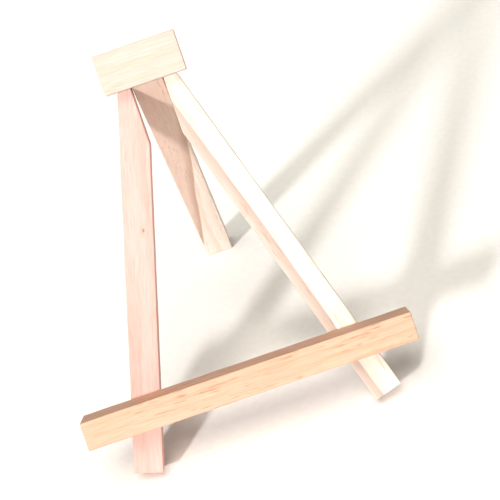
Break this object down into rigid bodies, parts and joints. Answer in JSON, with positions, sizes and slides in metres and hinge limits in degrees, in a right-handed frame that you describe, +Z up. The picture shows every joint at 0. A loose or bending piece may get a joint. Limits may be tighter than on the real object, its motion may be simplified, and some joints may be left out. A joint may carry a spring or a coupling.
{
  "type": "plate display stand",
  "caption": "Small folding wooden A-frame stand that props up a display plate on a front ledge, with a rear leg that swings on a pin.",
  "frame": {"origin": "on the floor, under the middle of the open stand's bounding box", "axes": "+X across the stand, +Y from the ledge towards the rear leg, +Z up"},
  "size_m": [0.1026, 0.1178, 0.1157],
  "materials": {
    "cap_wood": "pale unfinished softwood, sanded",
    "left_leg_wood": "pinkish unfinished softwood, sanded",
    "right_leg_wood": "cream unfinished softwood, sanded",
    "ledge_wood": "yellow-orange unfinished softwood with short brown streaks, sanded",
    "rear_leg_wood": "tan unfinished softwood, sanded",
    "pin_steel": "drawn wire, dull"
  },
  "bodies": {
    "front_frame": {"front_leg_left": "left_leg_wood", "front_leg_right": "right_leg_wood", "cap_block": "cap_wood", "display_ledge": "ledge_wood", "pivot_pin": "pin_steel"},
    "rear_strut": {"rear_leg": "rear_leg_wood"}
  },
  "joints": [
    {"name": "rear_leg_swing", "type": "hinge", "parent": "front_frame", "child": "rear_strut", "pos_m": [0, -0.00007, 0.10331], "axis": [1, 0, 0], "range_deg": [-56.6, 0]}
  ]
}
